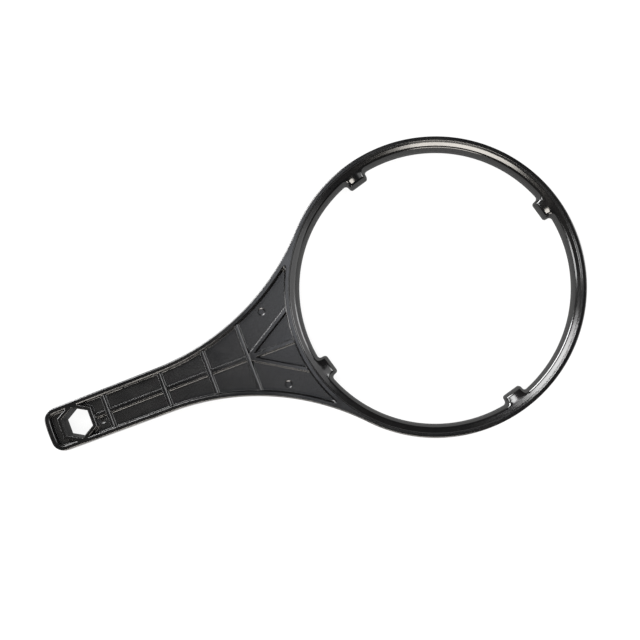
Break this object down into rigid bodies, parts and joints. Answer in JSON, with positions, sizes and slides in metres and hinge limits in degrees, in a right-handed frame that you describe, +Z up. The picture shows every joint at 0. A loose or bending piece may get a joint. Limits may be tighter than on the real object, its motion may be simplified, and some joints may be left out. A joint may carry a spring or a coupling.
{
  "type": "filter housing wrench",
  "caption": "One-piece moulded wrench for a water filter's screw-on bowl: a ring with inner lugs on a flat ribbed handle that ends in a hexagonal socket.",
  "frame": {"origin": "centre of the bounding box, on the back face that the wrench lies on", "axes": "+X along the handle, from the handle's end to the ring; +Z up, square to the ring, towards the front face with the raised rim; +Y completes a right-handed frame"},
  "size_m": [0.2616, 0.1396, 0.011],
  "materials": {
    "black_moulding": "glossy on the ring, rails and lugs, satin in the handle's pockets"
  },
  "bodies": {
    "root": {"outer_rim": "black_moulding", "inner_flange": "black_moulding", "lug_1": "black_moulding", "lug_2": "black_moulding", "lug_3": "black_moulding", "lug_4": "black_moulding", "handle_web": "black_moulding", "end_web": "black_moulding", "left_rail": "black_moulding", "right_rail": "black_moulding", "end_rail": "black_moulding", "hex_boss": "black_moulding", "front_cross_rib_1": "black_moulding", "front_cross_rib_2": "black_moulding", "front_cross_rib_3": "black_moulding", "front_cross_rib_4": "black_moulding", "front_spine_1": "black_moulding", "front_spine_2": "black_moulding", "front_spine_3": "black_moulding", "front_spine_4": "black_moulding", "front_spine_5": "black_moulding", "front_left_brace": "black_moulding", "front_right_brace": "black_moulding", "back_cross_rib_1": "black_moulding", "back_cross_rib_2": "black_moulding", "back_cross_rib_3": "black_moulding", "back_cross_rib_4": "black_moulding", "back_spine_1": "black_moulding", "back_spine_2": "black_moulding", "back_spine_3": "black_moulding", "back_spine_4": "black_moulding", "back_spine_5": "black_moulding", "back_left_brace": "black_moulding", "back_right_brace": "black_moulding"}
  },
  "joints": []
}
